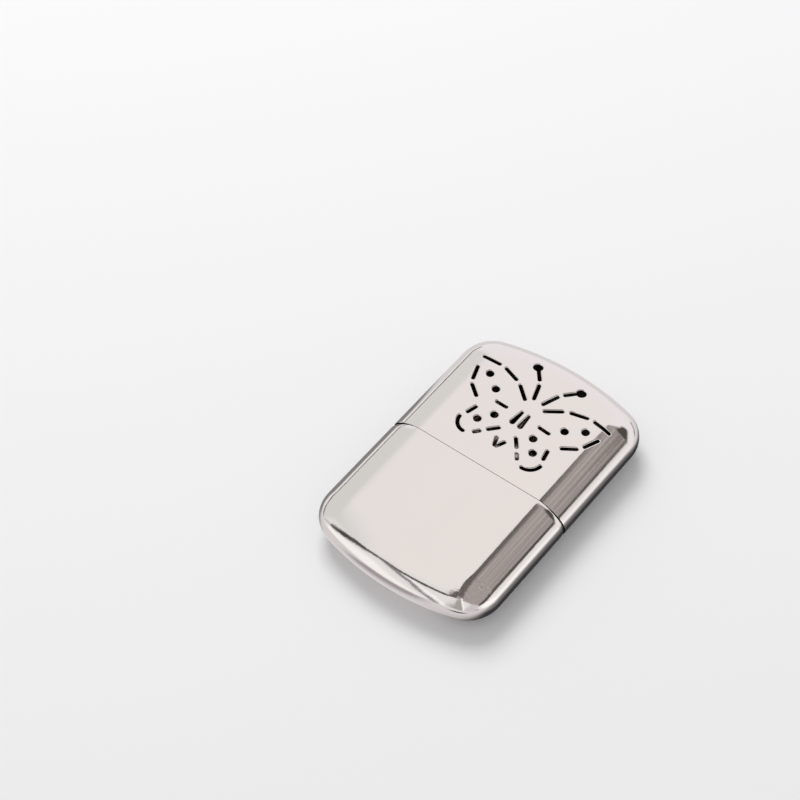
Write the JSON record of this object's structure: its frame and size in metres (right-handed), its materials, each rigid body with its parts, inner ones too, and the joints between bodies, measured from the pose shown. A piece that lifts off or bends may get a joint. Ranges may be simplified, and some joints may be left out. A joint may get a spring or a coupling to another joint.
{
  "type": "catalytic hand warmer",
  "caption": "Flat pocket hand warmer lying on its back: a rounded metal fuel flask with a slip-on vented cap over a lift-off catalytic burner.",
  "frame": {"origin": "the middle of the back face, which is the bottom centre of the bounding box as the warmer lies on its back", "axes": "+Z out of the slotted front face, +Y along the length towards the cap's closed end, +X to the right as the front is seen with the cap up"},
  "size_m": [0.065, 0.098, 0.015],
  "materials": {
    "polished_plate": "polished nickel plate",
    "burner_plate": "nickel plate, slightly heat-tinted",
    "inner_steel": "drawn steel, satin",
    "brass_wire": "woven wire",
    "brass_sheet": "stamped sheet",
    "wool_felt": "pressed felt",
    "cotton_wadding": "loose cotton fibre",
    "catalyst_fibre": "glass-fibre mat, metal-coated"
  },
  "bodies": {
    "tank": {"tank_shell": "polished_plate", "shoulder_cup": "inner_steel", "filler_neck": "inner_steel", "neck_screen": "brass_wire", "screen_ring": "inner_steel", "felt_wick": "wool_felt", "wadding_front": "cotton_wadding", "wadding_back": "cotton_wadding"},
    "burner": {"burner_skirt": "inner_steel", "burner_floor": "brass_sheet", "burner_cage": "burner_plate", "catalyst_mat": "catalyst_fibre", "gauze_front": "brass_wire", "gauze_back": "brass_wire", "burner_rivets": "brass_sheet"},
    "cap": {"cap_shell": "polished_plate"}
  },
  "joints": [
    {"name": "cap_slide", "type": "slide", "parent": "tank", "child": "cap", "axis": [0, 1, 0], "range_m": [0, 0.055]},
    {"name": "burner_slide", "type": "slide", "parent": "tank", "child": "burner", "axis": [0, 1, 0], "range_m": [0, 0.011]}
  ]
}
